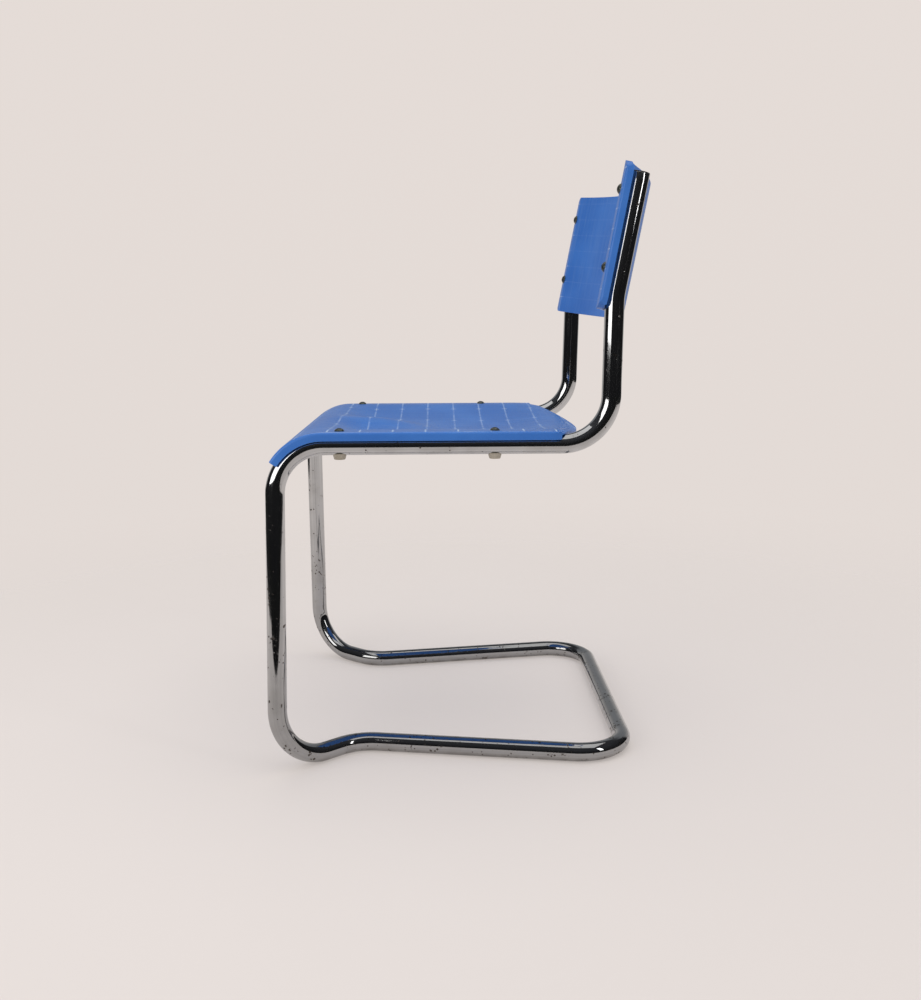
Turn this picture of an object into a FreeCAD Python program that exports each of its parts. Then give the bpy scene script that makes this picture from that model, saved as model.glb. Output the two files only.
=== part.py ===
import FreeCAD, Part
import math
import os

# Cantilever dining chair: one bent chromed tube, a moulded seat and a moulded back, bolted on.
# Millimetres. X is across the chair (+X is the sitter's left), -Y is the front, +Z is up.
# The floor is z = 0 and the origin is the middle of the footprint.

V = FreeCAD.Vector

# ---------------------------------------------------------------- driving dimensions
TUBE_R = 12.5            # outer radius of the frame tube
WALL = 2.0               # wall of the frame tube
BEND_R = 63.0            # centre-line radius of the main bends
FOOT_BEND_R = 70.0       # bend from the front leg to the floor
JOG_BEND_R = 61.0        # bend where the foot turns back outwards
KINK_R = 90.0            # slight bend of the upright below the backrest

RAIL_X = 220.0           # centre line of a seat rail
RAIL_Z = 428.0
FRONT_Y = -248.3         # corner points of the rail line
REAR_Y = 181.7
FOOT_X, FOOT_Y = 262.0, -251.3       # corner point of the splayed leg on the floor
JOG_X, JOG_Y = 178.4, -153.3         # corner point where the runner starts
HEEL_X, HEEL_Y = 239.6, 213.7        # rear corner of the floor loop
KINK_X, KINK_Y, KINK_Z = 214.4, 185.5, 613.5   # corner point of the upright
TOP_X, TOP_Y, TOP_Z = 209.9, 214.5, 764.4      # end of the upright

SEAT_T = 5.5             # thickness of the seat shell
SEAT_HALF = 237.0        # half width of the seat over its side lips
SEAT_LIP = 11.5          # height of the turned-down side lips
SEAT_LIP_T = 3.9
SEAT_END = 368.0         # rear end of the seat at its sides, from the front corner point
SEAT_BULGE = 42.0        # how far the rear edge bows out in the middle
SEAT_ROLL = 57.5         # degrees that the front of the seat wraps around the bend
DISH_HALF = 205.0

BACK_T = 4.0             # thickness of the back shell
BACK_LOW, BACK_HIGH = -18.0, 166.5   # extent along the upright, from its bend
BACK_RIM_T = 8.0         # thickness of the pads that rest on the uprights
BACK_SAG = 64.0          # depth of the hollow of the back
BACK_LIP = 10.0
BACK_CORNER, BACK_CORNER_X = 13.0, 22.0

SEAT_BOLT_Y = (-165.3, 33.7)
BACK_SCREW_S = (34.0, 131.0)
HEAD_R, HEAD_H = 6.6, 4.0
SHANK_R = 2.95
HOLE_R = 3.3

os.makedirs("parts", exist_ok=True)


def save(shape, name):
    shape.exportStep("parts/" + name + ".step")


def smooth(t):
    t = min(max(t, 0.0), 1.0)
    return t * t * (3.0 - 2.0 * t)


# ---------------------------------------------------------------- the bent tube
def corners():
    half = [
        (TOP_X, TOP_Y, TOP_Z),
        (KINK_X, KINK_Y, KINK_Z),
        (RAIL_X, REAR_Y, RAIL_Z),
        (RAIL_X, FRONT_Y, RAIL_Z),
        (FOOT_X, FOOT_Y, TUBE_R),
        (JOG_X, JOG_Y, TUBE_R),
        (HEEL_X, HEEL_Y, TUBE_R),
    ]
    radii = [KINK_R, BEND_R, BEND_R, FOOT_BEND_R, JOG_BEND_R, BEND_R]
    pts = [V(*p) for p in half] + [V(-p[0], p[1], p[2]) for p in reversed(half)]
    rr = radii + list(reversed(radii))
    return pts, rr


def disc(centre, direction, r):
    return Part.Face(Part.Wire(Part.Circle(centre, direction, r).toShape()))


def tube_pieces(r):
    pts, rr = corners()
    pieces = []
    start = pts[0]
    for i in range(1, len(pts) - 1):
        a = (pts[i - 1] - pts[i]).normalize()
        b = (pts[i + 1] - pts[i]).normalize()
        turn = math.pi - a.getAngle(b)
        t = rr[i - 1] * math.tan(turn / 2.0)
        p0 = pts[i] + a * t
        p1 = pts[i] + b * t
        bis = V(a + b).normalize()
        centre = pts[i] + bis * (rr[i - 1] / math.cos(turn / 2.0))
        run = p0 - start
        pieces.append(Part.makeCylinder(r, run.Length, start, run))
        axis = V(p0 - centre).cross(V(p1 - centre)).normalize()
        bend = disc(p0, a, r).revolve(centre, axis, math.degrees(turn))
        pieces.append(bend if bend.Volume > 0 else bend.reversed())
        start = p1
    run = pts[-1] - start
    pieces.append(Part.makeCylinder(r, run.Length, start, run))
    return pieces


def upright_frame(side, s, n=0.0, dx=0.0):
    """Point on the raked part of an upright: s along it, n towards the rear, dx outwards."""
    d = V(TOP_X - KINK_X, TOP_Y - KINK_Y, TOP_Z - KINK_Z).normalize()
    nn = V(0, d.z, -d.y).normalize()
    p = V(KINK_X, KINK_Y, KINK_Z) + d * s + nn * n + V(dx, 0, 0)
    return V(side * p.x, p.y, p.z)


UP_DIR = V(0, TOP_Y - KINK_Y, TOP_Z - KINK_Z).normalize()
BACK_N = V(0, UP_DIR.z, -UP_DIR.y)      # square to the back, towards the rear


def frame_tube():
    outer = tube_pieces(TUBE_R)
    inner = tube_pieces(TUBE_R - WALL)
    body = outer[0].multiFuse(outer[1:]).cut(inner[0].multiFuse(inner[1:]))
    # through holes for the seat bolts, straight down through both walls of the rails
    for side in (1, -1):
        for y in SEAT_BOLT_Y:
            body = body.cut(Part.makeCylinder(HOLE_R, 60, V(side * RAIL_X, y, RAIL_Z - 30), V(0, 0, 1)))
        for s in BACK_SCREW_S:
            body = body.cut(Part.makeCylinder(4.55, 16, upright_frame(side, s, -18.0), BACK_N))
    return body


# ---------------------------------------------------------------- shells from point grids
def spline_face(rows):
    """Smooth surface guided by a grid of points: flat where the grid is flat, never outside it."""
    nu, nv = len(rows), len(rows[0])
    surf = Part.BSplineSurface()
    du, dv = min(3, nu - 1), 3

    def knots(n, d):
        inner = n - d - 1
        k = [float(i) for i in range(inner + 2)]
        return k, [d + 1] + [1] * inner + [d + 1]

    ku, mu = knots(nu, du)
    kv, mv = knots(nv, dv)
    surf.buildFromPolesMultsKnots(rows, mu, mv, ku, kv, False, False, du, dv)
    return surf


def closed_shell(outer_rows, inner_rows):
    """Solid between two grids of points with the same layout of edges."""
    so, si = spline_face(outer_rows), spline_face(inner_rows)
    fo, fi = so.toShape(), si.toShape()
    u0, u1, v0, v1 = so.bounds()
    a0, a1, b0, b1 = si.bounds()
    pairs = [
        (so.uIso(u0), si.uIso(a0)), (so.uIso(u1), si.uIso(a1)),
        (so.vIso(v0), si.vIso(b0)), (so.vIso(v1), si.vIso(b1)),
    ]
    faces = [fo, fi]
    for c, d in pairs:
        faces.append(Part.makeRuledSurface(c.toShape(), d.toShape()))
    shell = Part.makeShell(faces)
    shell.sewShape(0.01)
    solid = Part.makeSolid(Part.Shell(shell.Faces) if not isinstance(shell, Part.Shell) else shell)
    if solid.Volume < 0:
        solid.reverse()
    return solid


# ---------------------------------------------------------------- seat
def seat_profile(n_roll=12, n_flat=34):
    """Points (y, z, ny, nz, start) along the seat from its front edge to its rear end."""
    cy = FRONT_Y + BEND_R
    cz = RAIL_Z - BEND_R
    r_out = BEND_R + TUBE_R + SEAT_T + 0.35
    pts = []
    for i in range(n_roll):
        a = math.radians(SEAT_ROLL * (1.0 - i / float(n_roll)))
        r = r_out + 0.45 * math.sin(a)
        pts.append((cy - r * math.sin(a), cz + r * math.cos(a), -math.sin(a), math.cos(a), None))
    for i in range(n_flat + 1):
        pts.append((cy, cz + r_out, 0.0, 1.0, i / float(n_flat)))
    return pts


def dish(x, y):
    """Depth of the seat surface below its rim: two leg hollows that run into one bowl."""
    u = abs(x) / DISH_HALF
    if u >= 1.0:
        return 0.0
    d = y - FRONT_Y
    amp = 19.0 * smooth((d - 45.0) / 65.0) + 1.5 * smooth((d - 190.0) / 70.0) - 9.5 * smooth((d - 305.0) / 105.0)
    ridge = 17.0 * smooth((d - 45.0) / 62.0) * (1.0 - smooth((d - 110.0) / 115.0))
    w = (1.0 - u * u) ** 1.25
    return amp * w - ridge * math.exp(-(x / 50.0) ** 2) * w


def rear_end(x):
    """Rear end of the seat in plan, measured from the front corner point."""
    e = SEAT_END + SEAT_BULGE * (1.0 - min(abs(x) / 236.0, 1.0) ** 2)
    r = 9.0
    over = abs(x) - (SEAT_HALF - r)
    if over > 0:
        over = min(over, r)
        e -= r - math.sqrt(max(r * r - over * over, 0.0))
    return e


def cross_section(half, lip, r, base, flats):
    """(x, h) pairs from one lip to the other; h is the depth below the outer face."""
    pts = [(half, lip), (half, lip - (lip - base - r) * 0.5), (half, base + r)]
    for k in range(1, 5):
        a = math.radians(90.0 * k / 4.0)
        pts.append((half - r + r * math.cos(a), base + r - r * math.sin(a)))
    pts += [(x, base) for x in flats]
    left = [(-x, h) for x, h in reversed(pts)]
    if abs(pts[-1][0]) < 1e-6:
        left = left[1:]
    return pts + left


FLATS = (228.0, 222.0, 214.0, 207.0, 200.0, 190.0, 178.0, 164.0, 148.0, 130.0, 110.0, 90.0, 70.0, 52.0, 36.0, 22.0, 10.0, 0.0)


def seat_rows(section):
    rows = []
    flat0 = FRONT_Y + BEND_R
    for (y0, z0, ny, nz, t) in seat_profile():
        row = []
        for (x, h) in section:
            xx = x
            if t is None:
                y, z = y0 - ny * h, z0 - nz * h
                if abs(x) > 225.0:
                    xx = x + math.copysign(1.3 * ny * ny, x)
            else:
                end = FRONT_Y + rear_end(x)
                y = flat0 + (end - flat0) * t
                z = z0 - h
            row.append(V(xx, y, z - dish(x, y) + rear_bead(x, t, h)))
        rows.append(row)
    return rows


def rear_bead(x, t, h):
    """The rear edge rolls over: the top rounds off and the underside thickens between the rails."""
    if t is None or t < 0.86:
        return 0.0
    k = (t - 0.86) / 0.14
    if h <= 0.01:
        return -3.2 * k ** 4
    if h < SEAT_T + 0.01:
        return -4.8 * smooth(k) * (1.0 - smooth((abs(x) - 176.0) / 26.0))
    return 0.0


def seat_panel():
    outer = cross_section(SEAT_HALF, SEAT_LIP, 4.0, 0.0, FLATS)
    inner = cross_section(SEAT_HALF - SEAT_LIP_T, SEAT_LIP, 1.6, SEAT_T, FLATS)
    body = closed_shell(seat_rows(outer), seat_rows(inner))
    for side in (1, -1):
        for y in SEAT_BOLT_Y:
            body = body.cut(Part.makeCylinder(HOLE_R, 40, V(side * RAIL_X, y, RAIL_Z + 5), V(0, 0, 1)))
    return body


# ---------------------------------------------------------------- back
def back_point(x, s, n):
    p = V(0, KINK_Y, KINK_Z) + UP_DIR * s + BACK_N * n
    return V(x, p.y, p.z)


def upright_x(s):
    return KINK_X + (TOP_X - KINK_X) * s / (V(TOP_X, TOP_Y, TOP_Z) - V(KINK_X, KINK_Y, KINK_Z)).Length


def back_hollow(x, s):
    c = upright_x(s) - 4.0
    u = 1.0 - (x / c) ** 2
    return BACK_SAG * u if u > 0 else 0.0


def rounded(x, half):
    """How far the top and bottom edges draw in at a rounded corner."""
    over = (abs(x) - (half - BACK_CORNER_X)) / BACK_CORNER_X
    if over <= 0:
        return 0.0
    return BACK_CORNER * (1.0 - math.sqrt(max(1.0 - min(over, 1.0) ** 2, 0.0)))


def back_thickness(x, ux):
    """Depth of the rear face: thick over the uprights, thin across the hollow."""
    return BACK_T + (BACK_RIM_T - BACK_T) * (1.0 - smooth((ux - 2.0 - abs(x)) / 26.0))


def back_rows(inner):
    face = -(TUBE_R + BACK_RIM_T + 0.1)
    rows = []
    ns = 2
    for i in range(ns):
        t = i / (ns - 1.0)
        s = BACK_LOW + (BACK_HIGH - BACK_LOW) * t
        ux = upright_x(s)
        half = ux + TUBE_R + 4.4
        if inner:
            sec = cross_section(half - 3.6, BACK_LIP, 1.5, BACK_RIM_T, ())
        else:
            sec = cross_section(half, BACK_LIP, 4.0, 0.0, ())
        edge = len(sec) // 2
        left, right = sec[:edge], sec[edge:]
        inside = [ux + 8.0, ux + 4.0, ux, ux - 3.0, ux - 6.0, ux - 10.0, ux - 16.0, ux - 26.0, ux - 42.0,
                  ux - 62.0, ux - 87.0, ux - 112.0, ux - 140.0, ux - 168.0, ux - 192.0]
        mid = [(x, back_thickness(x, ux) if inner else 0.0) for x in inside]
        mid += [(0.0, BACK_T if inner else 0.0)]
        mid += [(-x, h) for x, h in reversed(mid[:-1])]
        row = []
        for (x, h) in left + mid + right:
            sag = back_hollow(x, s) if abs(x) < ux + 9 else 0.0
            cut = rounded(x, half)
            ss = BACK_LOW + cut + (BACK_HIGH - BACK_LOW - 2.0 * cut) * t
            row.append(back_point(x, ss, face + h + sag))
        rows.append(row)
    return rows


def back_panel():
    body = closed_shell(back_rows(False), back_rows(True))
    for side in (1, -1):
        for s in BACK_SCREW_S:
            body = body.cut(Part.makeCylinder(HOLE_R, 30, upright_frame(side, s, -30.0), BACK_N))
    return body


# ---------------------------------------------------------------- fasteners
def dome_bolt(face, axis, length):
    """Round-headed bolt: the head's flat underside sits at face, the shank runs along axis."""
    r_s = (HEAD_R ** 2 + HEAD_H ** 2) / (2.0 * HEAD_H)
    ball = Part.makeSphere(r_s, face + axis * (r_s - HEAD_H))
    big = Part.makeCylinder(HEAD_R, HEAD_H + 0.001, face - axis * (HEAD_H + 0.0), axis)
    head = big.common(ball)
    # hexagon socket in the dome
    key = hexagon(face - axis * (HEAD_H + 1.0), axis, 2.3, 3.4)
    head = head.cut(key)
    shank = Part.makeCylinder(SHANK_R, length, face - axis * 0.2, axis)
    tip = Part.makeCone(SHANK_R, SHANK_R - 0.8, 0.9, face + axis * (length - 0.2), axis)
    return head.fuse([shank, tip]).removeSplitter()


def hexagon(base, axis, r, h):
    z = V(0, 0, 1)
    side = axis.cross(V(1, 0, 0)).normalize()
    up = axis.cross(side).normalize()
    pts = [base + side * (r * math.cos(math.radians(60 * k))) + up * (r * math.sin(math.radians(60 * k))) for k in range(6)]
    return Part.Face(Part.makePolygon(pts + [pts[0]])).extrude(axis * h)


def cap_nut(x, y):
    """Tapered moulded nut under the rail, saddled to the tube, closed at the bottom."""
    low, high = 410.0, 417.6
    body = Part.makeCone(7.1, 9.2, high - low, V(x, y, low), V(0, 0, 1))
    edge = [e for e in body.Edges if abs(e.CenterOfMass.z - low) < 0.01 and e.Length > 20]
    body = body.makeFillet(0.9, edge)
    body = body.cut(Part.makeCylinder(TUBE_R + 0.03, 40, V(x, y - 20, RAIL_Z), V(0, 1, 0)))
    body = body.cut(Part.makeCylinder(SHANK_R + 0.05, 20, V(x, y, low + 1.6), V(0, 0, 1)))
    return body


def rivet_nut(side, s):
    """Blind threaded insert set in the front wall of an upright."""
    base = upright_frame(side, s, -(TUBE_R - 0.4))
    body = Part.makeCylinder(4.5, 11.5, base, BACK_N)
    bulge = Part.makeCone(4.5, 5.3, 0.8, base + BACK_N * 3.4, BACK_N)
    bulge2 = Part.makeCone(5.3, 4.5, 1.4, base + BACK_N * 4.2, BACK_N)
    body = body.fuse([bulge, bulge2])
    body = body.cut(Part.makeCylinder(SHANK_R + 0.05, 14.0, base - BACK_N * 1.0, BACK_N))
    return body.removeSplitter()


def end_plug(side):
    d = V(side * (TOP_X - KINK_X), TOP_Y - KINK_Y, TOP_Z - KINK_Z).normalize()
    end = V(side * TOP_X, TOP_Y, TOP_Z)
    flange = Part.makeCylinder(TUBE_R - 0.15, 1.6, end, d)
    flange = flange.makeFillet(0.7, [e for e in flange.Edges if (e.CenterOfMass - end).dot(d) > 1.5 and e.Closed])
    barrel = Part.makeCylinder(TUBE_R - WALL - 0.05, 12.0, end - d * 12.0, d)
    hollow = Part.makeCylinder(TUBE_R - WALL - 2.0, 10.0, end - d * 12.5, d)
    return flange.fuse(barrel).cut(hollow).removeSplitter()


# ---------------------------------------------------------------- write the pieces
save(frame_tube(), "frame_tube")
save(seat_panel(), "seat_panel")
save(back_panel(), "back_panel")
for side, hand in ((1, "left"), (-1, "right")):
    for y, place in zip(SEAT_BOLT_Y, ("front", "rear")):
        top = V(side * RAIL_X, y, RAIL_Z + TUBE_R + SEAT_T + 0.35)
        save(dome_bolt(top, V(0, 0, -1), 33.8), "seat_bolt_%s_%s" % (place, hand))
        save(cap_nut(side * RAIL_X, y), "seat_cap_nut_%s_%s" % (place, hand))
    for s, place in zip(BACK_SCREW_S, ("lower", "upper")):
        face = upright_frame(side, s, -(TUBE_R + BACK_RIM_T + 0.1))
        save(dome_bolt(face, BACK_N, 18.5), "back_screw_%s_%s" % (place, hand))
        save(rivet_nut(side, s), "back_rivet_nut_%s_%s" % (place, hand))
    save(end_plug(side), "end_plug_%s" % hand)
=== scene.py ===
import math

import bmesh
import bpy
import numpy as np
from mathutils import Matrix, Vector

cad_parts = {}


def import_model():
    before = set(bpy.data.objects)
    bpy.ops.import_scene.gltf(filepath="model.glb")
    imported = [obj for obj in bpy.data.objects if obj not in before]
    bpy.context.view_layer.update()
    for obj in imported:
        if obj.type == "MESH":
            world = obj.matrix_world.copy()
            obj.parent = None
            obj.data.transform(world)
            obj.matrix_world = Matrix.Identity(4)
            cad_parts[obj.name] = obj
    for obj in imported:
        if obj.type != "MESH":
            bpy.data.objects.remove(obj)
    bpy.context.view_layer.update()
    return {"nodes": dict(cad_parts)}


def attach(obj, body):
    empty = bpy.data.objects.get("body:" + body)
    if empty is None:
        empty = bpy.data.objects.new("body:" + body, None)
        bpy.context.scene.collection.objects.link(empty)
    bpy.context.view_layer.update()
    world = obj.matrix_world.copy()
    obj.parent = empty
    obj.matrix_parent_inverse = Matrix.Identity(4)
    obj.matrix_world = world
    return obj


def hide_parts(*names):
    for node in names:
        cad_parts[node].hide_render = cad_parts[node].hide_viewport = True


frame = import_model()

# ------------------------------------------------------------------ the chair's dimensions, in millimetres
TUBE_R, WALL = 12.5, 2.0
BEND_R, FOOT_BEND_R, JOG_BEND_R, KINK_R = 63.0, 70.0, 61.0, 90.0
RAIL_X, RAIL_Z = 220.0, 428.0
FRONT_Y, REAR_Y = -248.3, 181.7
FOOT_X, FOOT_Y = 262.0, -251.3
JOG_X, JOG_Y = 178.4, -153.3
HEEL_X, HEEL_Y = 239.6, 213.7
KINK = (214.4, 185.5, 613.5)
TOP = (209.9, 214.5, 764.4)
SEAT_T, SEAT_HALF, SEAT_LIP, SEAT_LIP_T = 5.5, 237.0, 11.5, 3.9
SEAT_END, SEAT_BULGE, SEAT_ROLL, DISH_HALF = 368.0, 42.0, 57.5, 205.0
BACK_T, BACK_LOW, BACK_HIGH = 4.0, -18.0, 166.5
BACK_RIM_T, BACK_SAG, BACK_LIP = 8.0, 64.0, 10.0
BACK_CORNER, BACK_CORNER_X = 13.0, 22.0
MM = 0.001


# ------------------------------------------------------------------ node helpers
class Nodes:
    """A small helper to write node trees in a few lines."""

    def __init__(self, tree):
        self.t = tree
        self.t.nodes.clear()

    def add(self, kind, **values):
        n = self.t.nodes.new(kind)
        for k, v in values.items():
            setattr(n, k, v)
        return n

    def link(self, a, b):
        self.t.links.new(a, b)

    def put(self, socket, value):
        if isinstance(value, bpy.types.NodeSocket):
            self.link(value, socket)
        elif isinstance(value, (tuple, list)) and len(value) == 3 and socket.type == "RGBA":
            socket.default_value = (*value, 1.0)
        else:
            socket.default_value = value

    def math(self, op, a, b=None, c=None, clamp=False):
        n = self.add("ShaderNodeMath", operation=op, use_clamp=clamp)
        self.put(n.inputs[0], a)
        if b is not None:
            self.put(n.inputs[1], b)
        if c is not None:
            self.put(n.inputs[2], c)
        return n.outputs[0]

    def ramp(self, value, lo, hi, out_lo=0.0, out_hi=1.0, smooth=True):
        n = self.add("ShaderNodeMapRange", interpolation_type="SMOOTHSTEP" if smooth else "LINEAR", clamp=True)
        self.put(n.inputs[0], value)
        for i, v in enumerate((lo, hi, out_lo, out_hi)):
            self.put(n.inputs[i + 1], v)
        return n.outputs[0]

    def mix(self, fac, a, b, blend="MIX"):
        n = self.add("ShaderNodeMix", data_type="RGBA", blend_type=blend)
        self.put(n.inputs[0], fac)
        self.put(n.inputs[6], a)
        self.put(n.inputs[7], b)
        return n.outputs[2]

    def noise(self, vector, scale, detail=2.0, rough=0.5, dims="3D", distortion=0.0):
        n = self.add("ShaderNodeTexNoise", noise_dimensions=dims)
        self.link(vector, n.inputs["Vector"])
        n.inputs["Scale"].default_value = scale
        n.inputs["Detail"].default_value = detail
        n.inputs["Roughness"].default_value = rough
        n.inputs["Distortion"].default_value = distortion
        return n.outputs[0]

    def voronoi(self, vector, scale, feature="F1"):
        n = self.add("ShaderNodeTexVoronoi", feature=feature)
        self.link(vector, n.inputs["Vector"])
        n.inputs["Scale"].default_value = scale
        return n.outputs["Distance"]

    def scaled(self, vector, x, y, z):
        n = self.add("ShaderNodeMapping")
        self.link(vector, n.inputs[0])
        n.inputs["Scale"].default_value = (x, y, z)
        return n.outputs[0]

    def bump(self, height, strength, distance, normal=None):
        n = self.add("ShaderNodeBump")
        n.inputs["Strength"].default_value = strength
        n.inputs["Distance"].default_value = distance
        self.link(height, n.inputs["Height"])
        if normal is not None:
            self.link(normal, n.inputs["Normal"])
        return n.outputs[0]

    def object_coords(self):
        return self.add("ShaderNodeTexCoord").outputs["Object"]

    def uv(self):
        return self.add("ShaderNodeTexCoord").outputs["UV"]

    def split(self, vector):
        n = self.add("ShaderNodeSeparateXYZ")
        self.link(vector, n.inputs[0])
        return n.outputs

    def surface(self, **values):
        out = self.add("ShaderNodeOutputMaterial")
        b = self.add("ShaderNodeBsdfPrincipled")
        for k, v in values.items():
            self.put(b.inputs[k], v)
        self.link(b.outputs[0], out.inputs[0])
        return b


def material(name):
    m = bpy.data.materials.new(name)
    m.use_nodes = True
    return m, Nodes(m.node_tree)


# ------------------------------------------------------------------ materials
def chrome():
    m, n = material("chrome_polished_worn")
    pos = n.object_coords()
    uv = n.uv()
    z = n.split(pos)[2]
    # fine hairlines along the tube, soft clouding, and small rust pits that gather near the floor
    hair = n.noise(n.scaled(uv, 46.0, 1.3, 1.0), 9.0, 3.0, 0.7)
    cloud = n.noise(pos, 17.0, 3.0, 0.6)
    pit_cell = n.voronoi(pos, 190.0)
    pit_where = n.noise(pos, 34.0, 2.0, 0.6)
    low = n.ramp(z, 0.02, 0.42, 0.20, 0.05, smooth=False)
    size = n.math("ADD", n.ramp(pit_where, 0.46, 0.70, 0.0, 0.26), low)
    pits = n.math("LESS_THAN", pit_cell, size)
    pits = n.math("MULTIPLY", pits, n.ramp(n.noise(pos, 120.0, 1.0), 0.47, 0.56))
    smear = n.ramp(cloud, 0.42, 0.72)
    tone = n.mix(smear, (0.60, 0.605, 0.61), (0.50, 0.50, 0.495))
    tone = n.mix(n.ramp(hair, 0.56, 0.78, 0.0, 0.32), tone, (0.36, 0.36, 0.355))
    stripe = n.noise(n.scaled(uv, 13.0, 0.9, 1.0), 2.0, 3.0, 0.6)
    tone = n.mix(n.ramp(stripe, 0.42, 0.70, 0.0, 0.34), tone, (0.33, 0.335, 0.345))
    # painted contact shade and grime: within 12 mm of the floor the tube turns darker and rougher, broken up by noise
    contact_shade_and_grime = n.math("MULTIPLY", n.ramp(z, 0.0, 0.012, 0.75, 0.0), n.ramp(n.noise(pos, 60.0, 3.0), 0.3, 0.7, 0.5, 1.0))
    # darker towards the bottom, from 0.40 m down to the floor
    tone = n.mix(n.ramp(z, 0.40, 0.03, 0.0, 0.48, smooth=False), tone, (0.215, 0.215, 0.215))
    tone = n.mix(contact_shade_and_grime, tone, (0.10, 0.088, 0.075))
    tone = n.mix(n.math("MULTIPLY", pits, 0.85), tone, (0.055, 0.040, 0.030))
    rough = n.math("ADD", n.ramp(cloud, 0.30, 0.75, 0.035, 0.11), n.ramp(hair, 0.55, 0.80, 0.0, 0.05))
    rough = n.math("ADD", rough, n.math("MULTIPLY", pits, 0.22))
    rough = n.math("ADD", rough, n.math("MULTIPLY", contact_shade_and_grime, 0.3), clamp=True)
    wave = n.noise(n.scaled(uv, 3.0, 9.0, 1.0), 3.0, 2.0, 0.4)
    normal = n.bump(wave, 0.045, 0.0010)
    normal = n.bump(hair, 0.035, 0.0002, normal)
    normal = n.bump(n.math("SUBTRACT", 1.0, pits), 0.14, 0.0002, normal)
    b = n.surface(**{"Base Color": tone, "Metallic": 1.0, "Roughness": rough, "Normal": normal})
    return m


def dark_bronze():
    m, n = material("bolt_dark_burnished")
    pos = n.object_coords()
    wear_and_highlight_patches = n.ramp(n.noise(pos, 420.0, 3.0, 0.6), 0.45, 0.70)
    tone = n.mix(wear_and_highlight_patches, (0.085, 0.094, 0.082), (0.20, 0.205, 0.18))
    dust = n.ramp(n.noise(pos, 900.0, 2.0), 0.62, 0.75, 0.0, 0.5)
    tone = n.mix(dust, tone, (0.045, 0.040, 0.035))
    rough = n.ramp(n.noise(pos, 600.0, 2.0), 0.3, 0.7, 0.24, 0.42)
    n.surface(**{"Base Color": tone, "Metallic": 0.85, "Roughness": rough,
                 "Normal": n.bump(n.noise(pos, 1500.0, 2.0), 0.25, 0.00012)})
    return m


def cream_plastic():
    m, n = material("cream_moulded_plastic")
    pos = n.object_coords()
    yellowed = n.ramp(n.noise(pos, 160.0, 3.0, 0.6), 0.35, 0.70)
    tone = n.mix(yellowed, (0.36, 0.325, 0.27), (0.28, 0.245, 0.19))
    tone = n.mix(n.ramp(n.noise(pos, 900.0, 2.0), 0.66, 0.74, 0.0, 0.6), tone, (0.20, 0.17, 0.13))
    n.surface(**{"Base Color": tone, "Roughness": n.ramp(n.noise(pos, 500.0), 0.3, 0.7, 0.42, 0.58),
                 "Normal": n.bump(n.noise(pos, 1800.0, 3.0), 0.25, 0.00015)})
    return m


def black_plastic():
    m, n = material("black_moulded_plastic")
    pos = n.object_coords()
    dusty = n.ramp(n.noise(pos, 350.0, 3.0, 0.6), 0.45, 0.75)
    tone = n.mix(dusty, (0.016, 0.016, 0.017), (0.060, 0.057, 0.053))
    n.surface(**{"Base Color": tone, "Roughness": n.ramp(dusty, 0.0, 1.0, 0.40, 0.62),
                 "Normal": n.bump(n.noise(pos, 2200.0, 2.0), 0.3, 0.00012)})
    return m


def zinc():
    m, n = material("insert_zinc_plated")
    pos = n.object_coords()
    tone = n.mix(n.ramp(n.noise(pos, 400.0, 3.0), 0.35, 0.7), (0.60, 0.58, 0.52), (0.42, 0.40, 0.33))
    n.surface(**{"Base Color": tone, "Metallic": 1.0, "Roughness": n.ramp(n.noise(pos, 700.0), 0.3, 0.7, 0.25, 0.42),
                 "Normal": n.bump(n.noise(pos, 1600.0), 0.2, 0.0001)})
    return m


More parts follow.
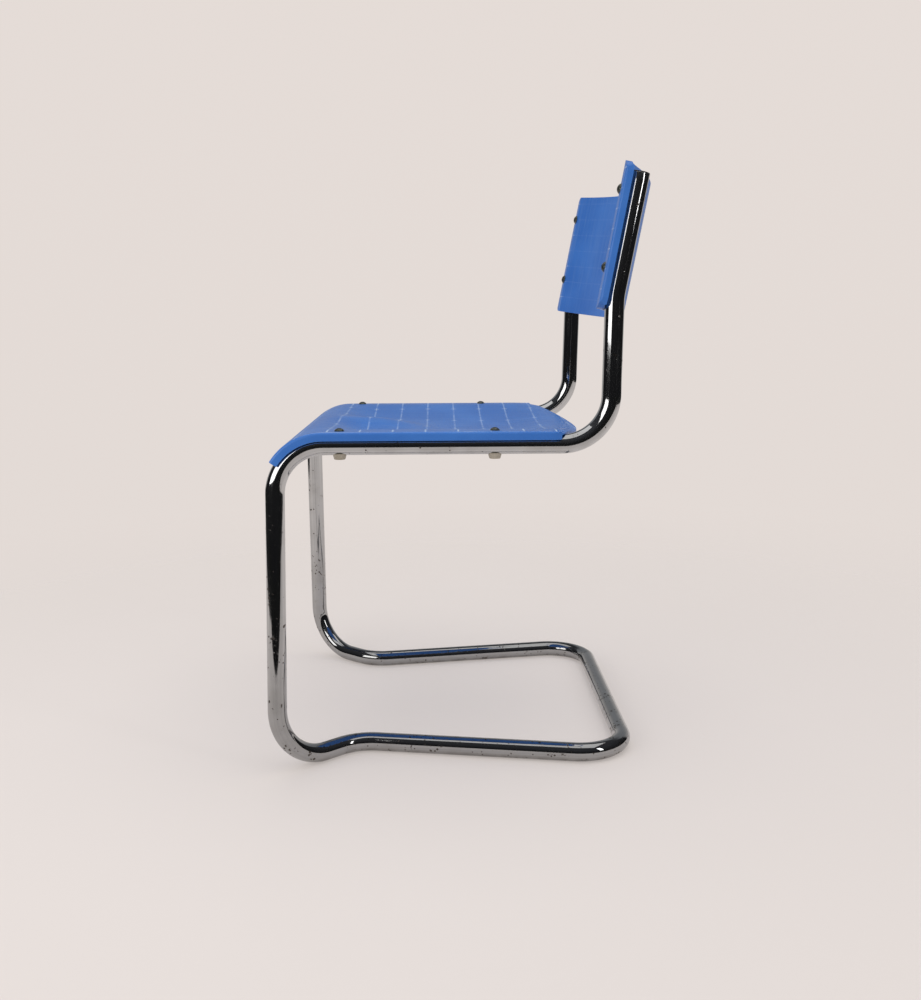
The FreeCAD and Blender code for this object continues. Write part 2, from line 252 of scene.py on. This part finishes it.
def blue_shell(name, grid_u, grid_v, shift_v, half, line_v, line_u, cross, rim_at):
    """Moulded blue plastic with a plain square grid of fine pale lines. UV is in metres on the surface."""
    m, n = material(name)
    pos = n.object_coords()
    uv = n.uv()
    u, v, _ = n.split(uv)
    depth = n.add("ShaderNodeAttribute", attribute_name="depth").outputs["Fac"]

    def line(coord, pitch, shift, width):
        cell = n.math("FRACT", n.math("ADD", n.math("DIVIDE", n.math("SUBTRACT", coord, shift), pitch), 100.5))
        d = n.math("MULTIPLY", n.math("ABSOLUTE", n.math("SUBTRACT", cell, 0.5)), pitch)
        return n.ramp(d, width, width * 0.35, 0.0, 1.0)

    au = n.math("ABSOLUTE", u)
    face = n.ramp(depth, 0.9, 0.3)                       # 1 on the outer face, 0 on the lips and the rear
    across = line(v, grid_v, shift_v, half)
    along = line(u, grid_u, 0.0, half * 0.8)
    broken = n.ramp(n.noise(uv, 70.0, 3.0, 0.65), 0.34, 0.62, 0.25, 1.0)
    # painted highlight: the cross lines are drawn brighter in a band along the rim
    rim = n.math("MULTIPLY", n.ramp(au, rim_at - 0.010, rim_at), n.ramp(au, rim_at + 0.018, rim_at + 0.012))
    strength = n.math("ADD", line_v, n.math("MULTIPLY", rim, 0.62))
    mark = n.math("MULTIPLY", line(v, grid_v, shift_v, half * 3.4), line(u, grid_u * 2.0, 0.0, half * 1.2))
    mark = n.math("MAXIMUM", mark, n.math("MULTIPLY", across, line(u, grid_u * 2.0, 0.0, half * 4.0)))
    lines = n.math("MULTIPLY", n.math("MULTIPLY", across, strength), broken)
    lines = n.math("MAXIMUM", lines, n.math("MULTIPLY", n.math("MULTIPLY", along, line_u), broken))
    lines = n.math("MAXIMUM", lines, n.math("MULTIPLY", mark, cross))
    # a painted highlight runs along the fold of each lip and along the rim of the hollow, broken into patches by
    # noise
    fold = n.math("MULTIPLY", n.ramp(au, rim_at + 0.015, rim_at + 0.0185), n.ramp(depth, 1.6, 0.4))
    crest = n.math("MULTIPLY", n.ramp(au, rim_at - 0.0045, rim_at - 0.003), n.ramp(au, rim_at - 0.0010, rim_at - 0.0028))
    wear_and_highlight_patches = n.ramp(n.noise(n.scaled(uv, 1.0, 0.35, 1.0), 55.0, 3.0, 0.6), 0.36, 0.68, 0.15, 1.0)
    painted_rim_highlight = n.math("MULTIPLY", n.math("MAXIMUM", n.math("MULTIPLY", fold, 0.30), n.math("MULTIPLY", crest, 0.34)), wear_and_highlight_patches)
    lines = n.math("MULTIPLY", n.math("MAXIMUM", lines, painted_rim_highlight), face)
    # fine rubbed streaks that run front to back, and large soft tone changes
    streak = n.noise(n.scaled(uv, 240.0, 7.0, 1.0), 1.0, 4.0, 0.65)
    mottle = n.noise(pos, 11.0, 3.0, 0.55)
    scratch = n.ramp(n.noise(n.scaled(uv, 900.0, 14.0, 1.0), 1.0, 2.0, 0.6), 0.66, 0.74)
    base = n.mix(n.ramp(mottle, 0.34, 0.68), (0.027, 0.141, 0.485), (0.038, 0.170, 0.540))
    base = n.mix(n.math("MULTIPLY", n.ramp(streak, 0.42, 0.75, 0.0, 0.42), face), base, (0.095, 0.225, 0.540))
    base = n.mix(n.math("MULTIPLY", scratch, 0.30), base, (0.22, 0.36, 0.58))
    base = n.mix(lines, base, (0.40, 0.54, 0.76))
    # painted highlight: sharp convex edges are drawn lighter
    edge = n.ramp(n.add("ShaderNodeNewGeometry").outputs["Pointiness"], 0.53, 0.62)
    base = n.mix(n.math("MULTIPLY", edge, 0.25), base, (0.10, 0.25, 0.56))
    rough = n.ramp(streak, 0.25, 0.80, 0.31, 0.46)
    rough = n.math("ADD", rough, n.math("MULTIPLY", lines, 0.08))
    grain = n.noise(pos, 1300.0, 2.0, 0.6)
    normal = n.bump(lines, 0.30, 0.0003)
    normal = n.bump(n.math("SUBTRACT", streak, n.math("MULTIPLY", scratch, 0.6)), 0.09, 0.0003, normal)
    normal = n.bump(grain, 0.10, 0.00010, normal)
    n.surface(**{"Base Color": base, "Roughness": rough, "IOR": 1.49, "Normal": normal})
    return m


# ------------------------------------------------------------------ meshes
def make_object(name, verts, faces, uvs=None, mat=None):
    me = bpy.data.meshes.new(name)
    me.from_pydata([tuple(v) for v in verts], [], faces)
    if uvs is not None:
        layer = me.uv_layers.new(name="UVMap")
        loops = np.empty(len(me.loops), dtype=np.int32)
        me.loops.foreach_get("vertex_index", loops)
        layer.data.foreach_set("uv", np.asarray(uvs, dtype=np.float32)[loops].ravel())
    bm = bmesh.new()
    bm.from_mesh(me)
    bmesh.ops.recalc_face_normals(bm, faces=bm.faces)
    bm.to_mesh(me)
    bm.free()
    for p in me.polygons:
        p.use_smooth = True
    o = bpy.data.objects.new(name, me)
    bpy.context.scene.collection.objects.link(o)
    if mat is not None:
        me.materials.append(mat)
    return o


def tube_path():
    half = [TOP, KINK, (RAIL_X, REAR_Y, RAIL_Z), (RAIL_X, FRONT_Y, RAIL_Z),
            (FOOT_X, FOOT_Y, TUBE_R), (JOG_X, JOG_Y, TUBE_R), (HEEL_X, HEEL_Y, TUBE_R)]
    radii = [KINK_R, BEND_R, BEND_R, FOOT_BEND_R, JOG_BEND_R, BEND_R]
    pts = [np.array(p, float) for p in half] + [np.array((-p[0], p[1], p[2]), float) for p in reversed(half)]
    rr = radii + radii[::-1]
    line, tang = [], []

    def straight(a, b, step=9.0):
        d = b - a
        length = np.linalg.norm(d)
        k = max(2, int(length / step))
        for i in range(k + 1):
            line.append(a + d * i / k)
            tang.append(d / length)

    start = pts[0]
    for i in range(1, len(pts) - 1):
        a = pts[i - 1] - pts[i]
        b = pts[i + 1] - pts[i]
        a, b = a / np.linalg.norm(a), b / np.linalg.norm(b)
        turn = math.pi - math.acos(float(np.clip(a @ b, -1, 1)))
        t = rr[i - 1] * math.tan(turn / 2)
        p0, p1 = pts[i] + a * t, pts[i] + b * t
        bis = (a + b) / np.linalg.norm(a + b)
        c = pts[i] + bis * (rr[i - 1] / math.cos(turn / 2))
        straight(start, p0)
        r0 = (p0 - c) / rr[i - 1]
        t0 = -a
        k = max(6, int(turn * rr[i - 1] / 2.2))
        for j in range(1, k):
            w = turn * j / k
            line.append(c + rr[i - 1] * (r0 * math.cos(w) + t0 * math.sin(w)))
            tang.append(t0 * math.cos(w) - r0 * math.sin(w))
        start = p1
    straight(start, pts[-1])
    keep_l, keep_t = [line[0]], [tang[0]]
    for p, t in zip(line[1:], tang[1:]):
        if np.linalg.norm(p - keep_l[-1]) > 0.4:
            keep_l.append(p)
            keep_t.append(t)
    return np.array(keep_l), np.array(keep_t)


def frame_tube(mat):
    line, tang = tube_path()
    seg = 88
    side = np.cross(tang[0], (1.0, 0.0, 0.0))
    side /= np.linalg.norm(side)
    verts, uvs, faces = [], [], []
    run = 0.0
    ang = np.linspace(0, 2 * math.pi, seg + 1)

    def ring(p, e1, e2, r, along):
        for a in ang:
            verts.append((p + r * (e1 * math.cos(a) + e2 * math.sin(a))) * MM)
            uvs.append((a / (2 * math.pi), along * MM))

    frames = []
    for i, (p, t) in enumerate(zip(line, tang)):
        if i:
            run += np.linalg.norm(p - line[i - 1])
        e1 = side - t * (side @ t)
        e1 /= np.linalg.norm(e1)
        e2 = np.cross(t, e1)
        side = e1
        frames.append((p, t, e1, e2, run))
    # the cut end: bore, chamfer, outer wall; the far end mirrors it
    p, t, e1, e2, s = frames[0]
    ring(p + t * 14.0, e1, e2, TUBE_R - WALL, s + 14)
    ring(p + t * 0.3, e1, e2, TUBE_R - WALL, s)
    ring(p, e1, e2, TUBE_R - WALL + 0.3, s)
    ring(p, e1, e2, TUBE_R - 0.35, s)
    ring(p + t * 0.12, e1, e2, TUBE_R - 0.10, s)
    ring(p + t * 0.40, e1, e2, TUBE_R, s)
    for k, (p, t, e1, e2, s) in enumerate(frames[1:-1]):
        ring(p, e1, e2, TUBE_R, s)
    p, t, e1, e2, s = frames[-1]
    ring(p - t * 0.40, e1, e2, TUBE_R, s)
    ring(p - t * 0.12, e1, e2, TUBE_R - 0.10, s)
    ring(p, e1, e2, TUBE_R - 0.35, s)
    ring(p, e1, e2, TUBE_R - WALL + 0.3, s)
    ring(p - t * 0.3, e1, e2, TUBE_R - WALL, s)
    ring(p - t * 14.0, e1, e2, TUBE_R - WALL, s - 14)
    n = seg + 1
    rings = len(verts) // n
    for i in range(rings - 1):
        for j in range(seg):
            faces.append((i * n + j, i * n + j + 1, (i + 1) * n + j + 1, (i + 1) * n + j))
    me = bpy.data.meshes.new("chromed_tube")
    me.from_pydata([tuple(v) for v in verts], [], faces)
    layer = me.uv_layers.new(name="UVMap")
    loops = np.empty(len(me.loops), dtype=np.int32)
    me.loops.foreach_get("vertex_index", loops)
    layer.data.foreach_set("uv", np.asarray(uvs, dtype=np.float32)[loops].ravel())
    bm = bmesh.new()
    bm.from_mesh(me)
    bmesh.ops.remove_doubles(bm, verts=bm.verts, dist=1e-7)
    bmesh.ops.recalc_face_normals(bm, faces=bm.faces)
    bm.to_mesh(me)
    bm.free()
    for p in me.polygons:
        p.use_smooth = True
    me.materials.append(mat)
    o = bpy.data.objects.new("chromed_tube", me)
    bpy.context.scene.collection.objects.link(o)
    return o


def basis(count, degree, params):
    """Clamped uniform B-spline basis: one row of weights per parameter in 0..1."""
    inner = count - degree - 1
    knots = np.array([0.0] * (degree + 1) + [i + 1.0 for i in range(inner)] + [inner + 1.0] * (degree + 1))
    x = np.clip(np.asarray(params) * (inner + 1.0), 0, inner + 1.0 - 1e-9)
    b = np.zeros((len(x), len(knots) - 1))
    for i in range(len(knots) - 1):
        b[:, i] = (x >= knots[i]) & (x < knots[i + 1])
    for d in range(1, degree + 1):
        nb = np.zeros((len(x), len(knots) - 1 - d))
        for i in range(len(knots) - 1 - d):
            l = knots[i + d] - knots[i]
            r = knots[i + d + 1] - knots[i + 1]
            if l > 0:
                nb[:, i] += (x - knots[i]) / l * b[:, i]
            if r > 0:
                nb[:, i] += (knots[i + d + 1] - x) / r * b[:, i + 1]
        b = nb
    return b


def spread(count, per):
    """Sample parameters: per samples in each span of a spline with that many poles."""
    spans = count - 3
    return np.linspace(0, 1, spans * per + 1)


def shell(name, outer, inner, uv_out, uv_in, mat, per_u, per_v, degree_u=3, samples_u=None):
    """Closed shell between two pole grids. UVs are metres on the surface; \"depth\" is millimetres below the outer face."""
    outer, inner, uv_out, uv_in = np.array(outer), np.array(inner), np.array(uv_out), np.array(uv_in)
    pu = np.linspace(0, 1, samples_u) if samples_u else spread(outer.shape[0], per_u)
    pv = spread(outer.shape[1], per_v)
    bu, bv = basis(outer.shape[0], degree_u, pu), basis(outer.shape[1], 3, pv)

    def sample(grid):
        return np.einsum("ai,ijk,bj->abk", bu, grid, bv)

    so, si, uo, ui = sample(outer) * MM, sample(inner) * MM, sample(uv_out), sample(uv_in)
    nu, nv = so.shape[:2]
    verts = np.concatenate([so.reshape(-1, 3), si.reshape(-1, 3)])
    uvs = np.concatenate([uo.reshape(-1, 3), ui.reshape(-1, 3)])
    k = nu * nv
    faces = []
    for i in range(nu - 1):
        for j in range(nv - 1):
            a = i * nv + j
            faces.append((a, a + 1, a + nv + 1, a + nv))
            faces.append((k + a, k + a + nv, k + a + nv + 1, k + a + 1))
    for j in range(nv - 1):
        for a in (j, (nu - 1) * nv + j):
            faces.append((a, k + a, k + a + 1, a + 1))
    for i in range(nu - 1):
        for a in (i * nv, i * nv + nv - 1):
            faces.append((a, a + nv, k + a + nv, k + a))
    o = make_object(name, verts, faces, uvs[:, :2], mat)
    depth = o.data.attributes.new("depth", "FLOAT", "POINT")
    depth.data.foreach_set("value", np.ascontiguousarray(uvs[:, 2], dtype=np.float32))
    bevel = o.modifiers.new("edge_radius", "BEVEL")
    bevel.width = 0.0008
    bevel.segments = 3
    bevel.limit_method = "ANGLE"
    bevel.angle_limit = math.radians(48)
    bevel.harden_normals = True
    return o


# ---- seat
def smooth(t):
    t = min(max(t, 0.0), 1.0)
    return t * t * (3.0 - 2.0 * t)


def seat_profile(n_roll=12, n_flat=34):
    cy, cz = FRONT_Y + BEND_R, RAIL_Z - BEND_R
    r_out = BEND_R + TUBE_R + SEAT_T + 0.35
    pts = []
    for i in range(n_roll):
        a = math.radians(SEAT_ROLL * (1.0 - i / float(n_roll)))
        r = r_out + 0.45 * math.sin(a)
        pts.append((cy - r * math.sin(a), cz + r * math.cos(a), -math.sin(a), math.cos(a), None, 63.0 - r_out * a))
    for i in range(n_flat + 1):
        pts.append((cy, cz + r_out, 0.0, 1.0, i / float(n_flat), 0.0))
    return pts


def dish(x, y):
    u = abs(x) / DISH_HALF
    if u >= 1.0:
        return 0.0
    d = y - FRONT_Y
    amp = 19.0 * smooth((d - 45.0) / 65.0) + 1.5 * smooth((d - 190.0) / 70.0) - 9.5 * smooth((d - 305.0) / 105.0)
    ridge = 17.0 * smooth((d - 45.0) / 62.0) * (1.0 - smooth((d - 110.0) / 115.0))
    w = (1.0 - u * u) ** 1.25
    return amp * w - ridge * math.exp(-(x / 50.0) ** 2) * w


def rear_end(x):
    e = SEAT_END + SEAT_BULGE * (1.0 - min(abs(x) / 236.0, 1.0) ** 2)
    r = 9.0
    over = abs(x) - (SEAT_HALF - r)
    if over > 0:
        over = min(over, r)
        e -= r - math.sqrt(max(r * r - over * over, 0.0))
    return e


def cross_section(half, lip, r, base, flats):
    pts = [(half, lip), (half, lip - (lip - base - r) * 0.5), (half, base + r)]
    for k in range(1, 5):
        a = math.radians(90.0 * k / 4.0)
        pts.append((half - r + r * math.cos(a), base + r - r * math.sin(a)))
    pts += [(x, base) for x in flats]
    left = [(-x, h) for x, h in reversed(pts)]
    if abs(pts[-1][0]) < 1e-6:
        left = left[1:]
    return pts + left


FLATS = (228.0, 222.0, 214.0, 207.0, 200.0, 190.0, 178.0, 164.0, 148.0, 130.0, 110.0, 90.0, 70.0, 52.0, 36.0, 22.0, 10.0, 0.0)


def rear_bead(x, t, h):
    if t is None or t < 0.86:
        return 0.0
    k = (t - 0.86) / 0.14
    if h <= 0.01:
        return -3.2 * k ** 4
    if h < SEAT_T + 0.01:
        return -4.8 * smooth(k) * (1.0 - smooth((abs(x) - 176.0) / 26.0))
    return 0.0


def seat_rows(section):
    rows, uvs = [], []
    flat0 = FRONT_Y + BEND_R
    for (y0, z0, ny, nz, t, arc) in seat_profile():
        row, uv = [], []
        for (x, h) in section:
            xx = x
            if t is None:
                y, z = y0 - ny * h, z0 - nz * h
                if abs(x) > 225.0:
                    xx = x + math.copysign(1.3 * ny * ny, x)
                v = arc
            else:
                y = flat0 + (FRONT_Y + rear_end(x) - flat0) * t
                z = z0 - h
                v = y - FRONT_Y
            row.append((xx, y, z - dish(x, y) + rear_bead(x, t, h)))
            uv.append((x * MM, v * MM, h))
        rows.append(row)
        uvs.append(uv)
    return rows, uvs


def seat(mat):
    outer, uvs = seat_rows(cross_section(SEAT_HALF, SEAT_LIP, 4.0, 0.0, FLATS))
    inner, uvi = seat_rows(cross_section(SEAT_HALF - SEAT_LIP_T, SEAT_LIP, 1.6, SEAT_T, FLATS))
    return shell("moulded_seat", outer, inner, uvs, uvi, mat, 4, 4)


# ---- back
UP = np.array((0.0, TOP[1] - KINK[1], TOP[2] - KINK[2]))
UP /= np.linalg.norm(UP)
BACK_N = np.array((0.0, UP[2], -UP[1]))
UP_LEN = float(np.linalg.norm(np.array(TOP) - np.array(KINK)))


def upright_x(s):
    return KINK[0] + (TOP[0] - KINK[0]) * s / UP_LEN


def rounded(x, half):
    over = (abs(x) - (half - BACK_CORNER_X)) / BACK_CORNER_X
    if over <= 0:
        return 0.0
    return BACK_CORNER * (1.0 - math.sqrt(max(1.0 - min(over, 1.0) ** 2, 0.0)))


def back_thickness(x, ux):
    return BACK_T + (BACK_RIM_T - BACK_T) * (1.0 - smooth((ux - 2.0 - abs(x)) / 26.0))


def back_rows(inner):
    face = -(TUBE_R + BACK_RIM_T + 0.1)
    rows, uvs = [], []
    for t in (0.0, 1.0):
        s = BACK_LOW + (BACK_HIGH - BACK_LOW) * t
        ux = upright_x(s)
        half = ux + TUBE_R + 4.4
        if inner:
            sec = cross_section(half - 3.6, BACK_LIP, 1.5, BACK_RIM_T, ())
        else:
            sec = cross_section(half, BACK_LIP, 4.0, 0.0, ())
        edge = len(sec) // 2
        left, right = sec[:edge], sec[edge:]
        inside = [ux + 8.0, ux + 4.0, ux, ux - 3.0, ux - 6.0, ux - 10.0, ux - 16.0, ux - 26.0, ux - 42.0,
                  ux - 62.0, ux - 87.0, ux - 112.0, ux - 140.0, ux - 168.0, ux - 192.0]
        mid = [(x, back_thickness(x, ux) if inner else 0.0) for x in inside]
        mid += [(0.0, BACK_T if inner else 0.0)]
        mid += [(-x, h) for x, h in reversed(mid[:-1])]
        row, uv = [], []
        c = ux - 4.0
        for (x, h) in left + mid + right:
            q = 1.0 - (x / c) ** 2
            sag = BACK_SAG * q if (q > 0 and abs(x) < ux + 9) else 0.0
            cut = rounded(x, half)
            ss = BACK_LOW + cut + (BACK_HIGH - BACK_LOW - 2.0 * cut) * t
            p = np.array((0.0, KINK[1], KINK[2])) + UP * ss + BACK_N * (face + h + sag)
            row.append((x, p[1], p[2]))
            uv.append((x * MM, ss * MM, h))
        rows.append(row)
        uvs.append(uv)
    return rows, uvs


def back(mat):
    outer, uvs = back_rows(False)
    inner, uvi = back_rows(True)
    return shell("moulded_back", outer, inner, uvs, uvi, mat, 1, 6, degree_u=1, samples_u=61)


# ------------------------------------------------------------------ the chair
CHROME = chrome()
BOLT, CREAM, BLACK, ZINC = dark_bronze(), cream_plastic(), black_plastic(), zinc()
SEAT_BLUE = blue_shell("seat_blue_plastic", 0.042, 0.0419, 0.0675, 0.0017, 0.44, 0.08, 0.62, 0.214)
BACK_BLUE = blue_shell("back_blue_plastic", 0.050, 0.025, 0.006, 0.0010, 0.07, 0.03, 0.0, 0.212)

tube = frame_tube(CHROME)
seat_obj = seat(SEAT_BLUE)
back_obj = back(BACK_BLUE)
for piece, node, slot_name in ((tube, "frame_tube", "chrome_tube"), (seat_obj, "seat_panel", "blue_shell"),
                               (back_obj, "back_panel", "blue_shell")):
    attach(piece, "root")
    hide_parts(node)

for node, o in frame["nodes"].items():
    if "bolt" in node or "screw" in node:
        mat = BOLT
    elif "cap_nut" in node:
        mat = CREAM
    elif "rivet" in node:
        mat = ZINC
    elif "plug" in node:
        mat = BLACK
    elif node == "frame_tube":
        mat = CHROME
    elif node == "seat_panel":
        mat = SEAT_BLUE
    else:
        mat = BACK_BLUE
    for s in o.material_slots:
        s.material = mat


# ------------------------------------------------------------------ studio
def floor():
    n_ring, n_seg = 60, 96
    verts, faces = [(0.0, 0.0, 0.0)], []
    for i in range(1, n_ring + 1):
        r = 4.5 * (i / n_ring) ** 1.3
        for j in range(n_seg):
            a = 2 * math.pi * j / n_seg
            verts.append((r * math.cos(a), r * math.sin(a), 0.0))
    for j in range(n_seg):
        faces.append((0, 1 + j, 1 + (j + 1) % n_seg))
    for i in range(n_ring - 1):
        for j in range(n_seg):
            a, b = 1 + i * n_seg, 1 + (i + 1) * n_seg
            k = (j + 1) % n_seg
            faces.append((a + j, b + j, b + k, a + k))
    m, n = material("floor_paper")
    pos = n.object_coords()
    x, y, _ = n.split(pos)
    r = n.math("SQRT", n.math("ADD", n.math("MULTIPLY", x, x), n.math("MULTIPLY", y, y)))
    tone = n.mix(n.noise(pos, 3.0, 4.0, 0.6), (0.700, 0.655, 0.635), (0.725, 0.680, 0.660))
    fine = n.noise(pos, 500.0, 2.0)
    out = n.add("ShaderNodeOutputMaterial")
    d = n.add("ShaderNodeBsdfPrincipled")
    path = n.add("ShaderNodeLightPath")
    # painted shade in reflections: seen from the chrome, the floor turns darker towards the camera side
    far = n.math("MULTIPLY", path.outputs["Is Glossy Ray"], n.ramp(x, 0.10, 0.75, 0.0, 0.40))
    n.put(d.inputs["Base Color"], n.mix(far, tone, (0.10, 0.10, 0.10)))
    d.inputs["Roughness"].default_value = 0.85
    n.link(n.bump(fine, 0.12, 0.0003), d.inputs["Normal"])
    # painted light: part of the floor glows evenly in the backdrop colour, which lightens its shadows
    glow = n.add("ShaderNodeEmission")
    glow.inputs[0].default_value = (0.783, 0.716, 0.680, 1.0)
    lit = n.add("ShaderNodeMixShader")
    lit.inputs[0].default_value = 0.42
    n.link(d.outputs[0], lit.inputs[1])
    n.link(glow.outputs[0], lit.inputs[2])
    clear = n.add("ShaderNodeBsdfTransparent")
    mixer = n.add("ShaderNodeMixShader")
    n.link(n.math("MULTIPLY", n.ramp(r, 0.45, 1.9), path.outputs["Is Camera Ray"]), mixer.inputs[0])
    n.link(lit.outputs[0], mixer.inputs[1])
    n.link(clear.outputs[0], mixer.inputs[2])
    n.link(mixer.outputs[0], out.inputs[0])
    me = bpy.data.meshes.new("floor")
    me.from_pydata(verts, [], faces)
    me.materials.append(m)
    o = bpy.data.objects.new("floor", me)
    bpy.context.scene.collection.objects.link(o)
    return o


def card(name, corners, tone, strength=1.0):
    """A flat glowing panel that only polished surfaces see: a painted reflection."""
    m, n = material(name)
    out = n.add("ShaderNodeOutputMaterial")
    e = n.add("ShaderNodeEmission")
    n.put(e.inputs[0], tone)
    e.inputs[1].default_value = strength
    n.link(e.outputs[0], out.inputs[0])
    me = bpy.data.meshes.new(name)
    me.from_pydata(corners, [], [(0, 1, 2, 3)])
    me.materials.append(m)
    o = bpy.data.objects.new(name, me)
    bpy.context.scene.collection.objects.link(o)
    o.visible_camera = False
    o.visible_diffuse = False
    o.visible_shadow = False
    o.visible_transmission = False
    return o


def soft_light(name, at, to, size_x, size_y, watts, tone):
    light = bpy.data.lights.new(name, "AREA")
    light.shape = "RECTANGLE"
    light.size, light.size_y = size_x, size_y
    light.energy = watts
    light.color = tone
    o = bpy.data.objects.new(name, light)
    o.location = at
    o.rotation_euler = (Vector(to) - Vector(at)).to_track_quat("-Z", "Y").to_euler()
    o.visible_camera = False
    bpy.context.scene.collection.objects.link(o)
    return o


def world():
    w = bpy.data.worlds.new("studio")
    bpy.context.scene.world = w
    w.use_nodes = True
    n = Nodes(w.node_tree)
    d = n.add("ShaderNodeTexCoord").outputs["Generated"]
    x, y, z = n.split(d)
    flat = n.math("SQRT", n.math("ADD", n.math("MULTIPLY", x, x), n.math("MULTIPLY", y, y)))
    cosaz = n.math("DIVIDE", x, n.math("MAXIMUM", flat, 0.001))
    # the pale sweep fills the half behind the chair; the rest of the room is dark
    sweep = n.math("MULTIPLY", n.ramp(cosaz, -0.55, -0.68), n.ramp(z, 0.72, 0.50))
    room = n.mix(n.ramp(z, -0.05, 0.9), (0.012, 0.012, 0.013), (0.05, 0.052, 0.058))
    paper = n.mix(n.ramp(z, 0.0, 0.45), (0.50, 0.48, 0.465), (0.26, 0.27, 0.285))
    glossy = n.mix(sweep, room, paper)
    path = n.add("ShaderNodeLightPath")
    ambient = n.mix(n.ramp(z, -0.6, 0.6), (0.60, 0.57, 0.55), (0.80, 0.79, 0.79))
    seen = n.mix(path.outputs["Is Glossy Ray"], ambient, glossy)
    backdrop = n.mix(n.ramp(z, -0.45, 0.45), (0.765, 0.702, 0.668), (0.783, 0.716, 0.680))
    total = n.mix(path.outputs["Is Camera Ray"], seen, backdrop)
    bg = n.add("ShaderNodeBackground")
    n.link(total, bg.inputs[0])
    bg.inputs[1].default_value = 1.0
    out = n.add("ShaderNodeOutputWorld")
    n.link(bg.outputs[0], out.inputs[0])


floor()
world()
# painted reflections: dark panels that only the chrome sees, darkening the reflected floor beyond the lit area
card("dark_reflection_card_near", [(1.30, -6, 0.003), (6, -6, 0.003), (6, 6, 0.003), (1.30, 6, 0.003)], (0.012, 0.012, 0.012))
card("dark_reflection_card_front", [(-6, -6, 0.003), (1.30, -6, 0.003), (1.30, -1.7, 0.003), (-6, -1.7, 0.003)], (0.02, 0.02, 0.02))
card("dark_reflection_card_rear", [(-6, 2.6, 0.003), (1.30, 2.6, 0.003), (1.30, 6, 0.003), (-6, 6, 0.003)], (0.02, 0.02, 0.02))
soft_light("overhead", (-0.05, 0.0, 2.3), (-0.05, 0.0, 0.0), 2.3, 2.6, 16.0, (1.0, 0.985, 0.97))
soft_light("front_side", (1.22, -1.38, 1.02), (0.15, -0.1, 0.45), 1.45, 0.80, 8.5, (1.0, 0.98, 0.96))
soft_light("rear_strip", (1.55, 1.75, 1.32), (0.2, 0.2, 0.62), 0.30, 1.15, 5.0, (1.0, 1.0, 1.0))

# ------------------------------------------------------------------ camera
YAW, PITCH, ROLL = -0.0222, -0.1686, -0.0041
right0 = Vector((-math.sin(YAW), math.cos(YAW), 0.0))
back0 = Vector((math.cos(YAW), math.sin(YAW), 0.0))
up2 = math.cos(PITCH) * Vector((0, 0, 1)) + math.sin(PITCH) * back0
back2 = -math.sin(PITCH) * Vector((0, 0, 1)) + math.cos(PITCH) * back0
right3 = math.cos(ROLL) * right0 + math.sin(ROLL) * up2
up3 = -math.sin(ROLL) * right0 + math.cos(ROLL) * up2
cam = bpy.data.cameras.new("photo_view")
cam.sensor_width = 36.0
cam.sensor_fit = "AUTO"
cam.lens = 38.24
cam.clip_start = 0.05
cam_obj = bpy.data.objects.new("photo_view", cam)
m4 = Matrix.Identity(4)
for i, axis in enumerate((right3, up3, back2)):
    for k in range(3):
        m4[k][i] = axis[k]
m4.translation = Vector((1.5752, -0.0408, 0.5866))
cam_obj.matrix_world = m4
bpy.context.scene.collection.objects.link(cam_obj)
bpy.context.scene.camera = cam_obj
bpy.context.scene.view_settings.view_transform = "Standard"
bpy.context.scene.view_settings.look = "None"
